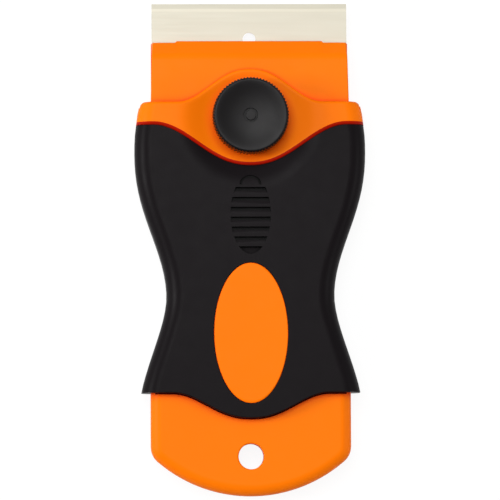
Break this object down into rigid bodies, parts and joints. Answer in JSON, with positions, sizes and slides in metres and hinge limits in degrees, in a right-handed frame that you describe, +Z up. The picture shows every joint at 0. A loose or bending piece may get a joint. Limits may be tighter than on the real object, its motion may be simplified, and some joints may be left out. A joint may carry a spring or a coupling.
{
  "type": "razor blade scraper",
  "caption": "Hand scraper: a two-half rubber-covered handle whose jaws grip a wide single-edged blade, held shut by a knurled knob on a bolt, with a hanging hole in the tail.",
  "frame": {"origin": "on the surface the tool lies on, under the middle of its length and width", "axes": "+Y along the tool towards the cutting edge, +Z up from the back face to the knob, +X to the right"},
  "size_m": [0.075, 0.1604, 0.0259],
  "materials": {
    "shell": "satin moulded plastic, orange",
    "grip": "matt soft rubber, near black",
    "blade": "bright rolled steel with a ground edge",
    "hardware": "zinc plated, satin",
    "knob": "semi-gloss moulded plastic, near black",
    "insert": "turned"
  },
  "bodies": {
    "back_half": {"back_shell": "shell", "back_grip": "grip", "clamp_bolt": "hardware"},
    "front_half": {"front_shell": "shell", "front_grip": "grip"},
    "blade": {"blade": "blade"},
    "washer": {"clamp_washer": "hardware"},
    "knob": {"clamp_knob": "knob", "knob_insert": "insert"}
  },
  "joints": [
    {"name": "knob_rise", "type": "slide", "parent": "back_half", "child": "washer", "axis": [0, 0, 1], "range_m": [0, 0.00301]},
    {"name": "knob_turn", "type": "hinge", "parent": "washer", "child": "knob", "pos_m": [0, 0.0423, 0.0164], "axis": [0, 0, 1], "range_deg": [0, 1080]},
    {"name": "front_half_open", "type": "hinge", "parent": "back_half", "child": "front_half", "pos_m": [0, -0.08015, 0.0085], "axis": [1, 0, 0], "range_deg": [0, 1.25]},
    {"name": "blade_slide", "type": "slide", "parent": "back_half", "child": "blade", "axis": [0, 1, 0], "range_m": [0, 0.02]}
  ],
  "couplings": [
    {"joint": "knob_rise", "follows": "knob_turn", "m_per_rad": 0.00015915},
    {"joint": "front_half_open", "follows": "knob_turn", "ratio": 0.0011368}
  ]
}
